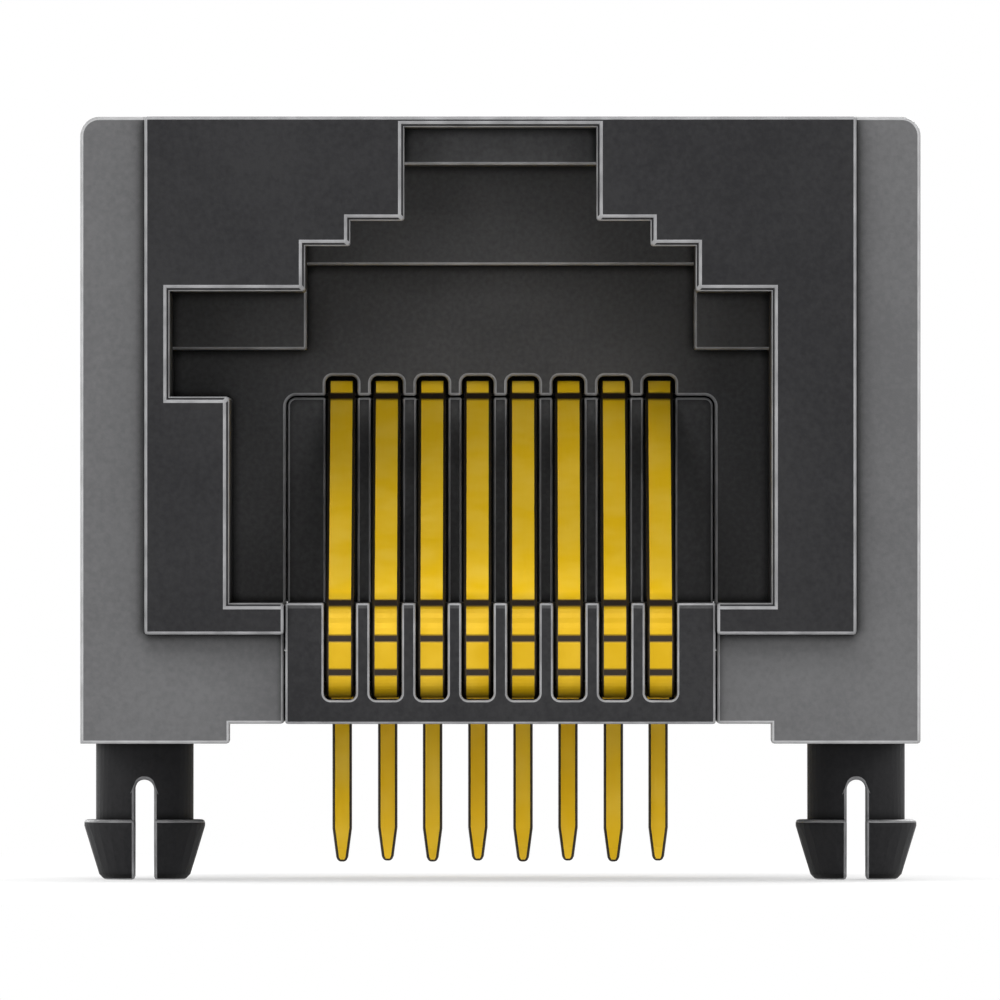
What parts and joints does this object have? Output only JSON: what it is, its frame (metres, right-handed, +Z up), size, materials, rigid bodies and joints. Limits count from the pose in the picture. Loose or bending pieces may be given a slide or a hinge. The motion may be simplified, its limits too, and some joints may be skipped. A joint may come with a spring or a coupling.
{
  "type": "rj45 board jack",
  "caption": "Side-entry keyed modular jack for a circuit board: black flanged housing, split board pegs, contact carrier and formed gold spring contacts.",
  "frame": {"origin": "midway between the two board pegs, on the board's surface, which the feet stand on", "axes": "+X right seen from the front, +Y from the plug's mouth to the rear, +Z up from the board"},
  "size_m": [0.0186, 0.018, 0.017],
  "materials": {
    "housing_plastic": "fine moulded texture, black",
    "carrier_plastic": "smooth moulded, black",
    "contact_gold": "gold plated, bright"
  },
  "bodies": {
    "root": {"housing": "housing_plastic", "contact_carrier": "carrier_plastic", "contact_1": "contact_gold", "contact_2": "contact_gold", "contact_3": "contact_gold", "contact_4": "contact_gold", "contact_5": "contact_gold", "contact_6": "contact_gold", "contact_7": "contact_gold", "contact_8": "contact_gold"}
  },
  "joints": []
}
